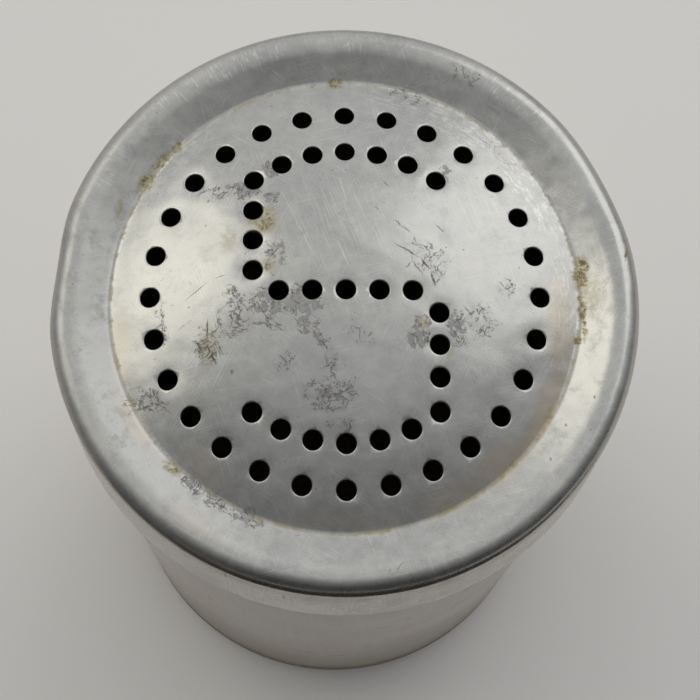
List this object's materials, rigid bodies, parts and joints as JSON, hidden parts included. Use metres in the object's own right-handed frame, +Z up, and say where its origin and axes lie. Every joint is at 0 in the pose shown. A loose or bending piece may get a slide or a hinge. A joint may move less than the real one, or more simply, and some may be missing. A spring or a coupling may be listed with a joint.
{
  "type": "salt and spice shaker",
  "caption": "Tall drawn aluminium shaker: a plain round can closed by a slip-over lid with a domed, perforated top for sprinkling salt or spice.",
  "frame": {"origin": "centre of the can's foot, on the surface that the shaker stands on", "axes": "+Z up along the shaker's axis, towards the perforated lid; the letter of holes in the lid reads upright with +Y as its top and +X to its right"},
  "size_m": [0.071, 0.071, 0.1137],
  "materials": {
    "lid_aluminium": "worn, dull polished aluminium with fine scratches, grey stains and traces of yellow grime in the valley",
    "can_aluminium": "worn, satin drawn aluminium with fine scratches, dull and slightly warm"
  },
  "bodies": {
    "can": {"shaker_can": "can_aluminium"},
    "lid": {"perforated_lid": "lid_aluminium"}
  },
  "joints": [
    {"name": "lid_lift", "type": "slide", "parent": "can", "child": "lid", "axis": [0, 0, 1], "range_m": [0, 0.04]}
  ]
}
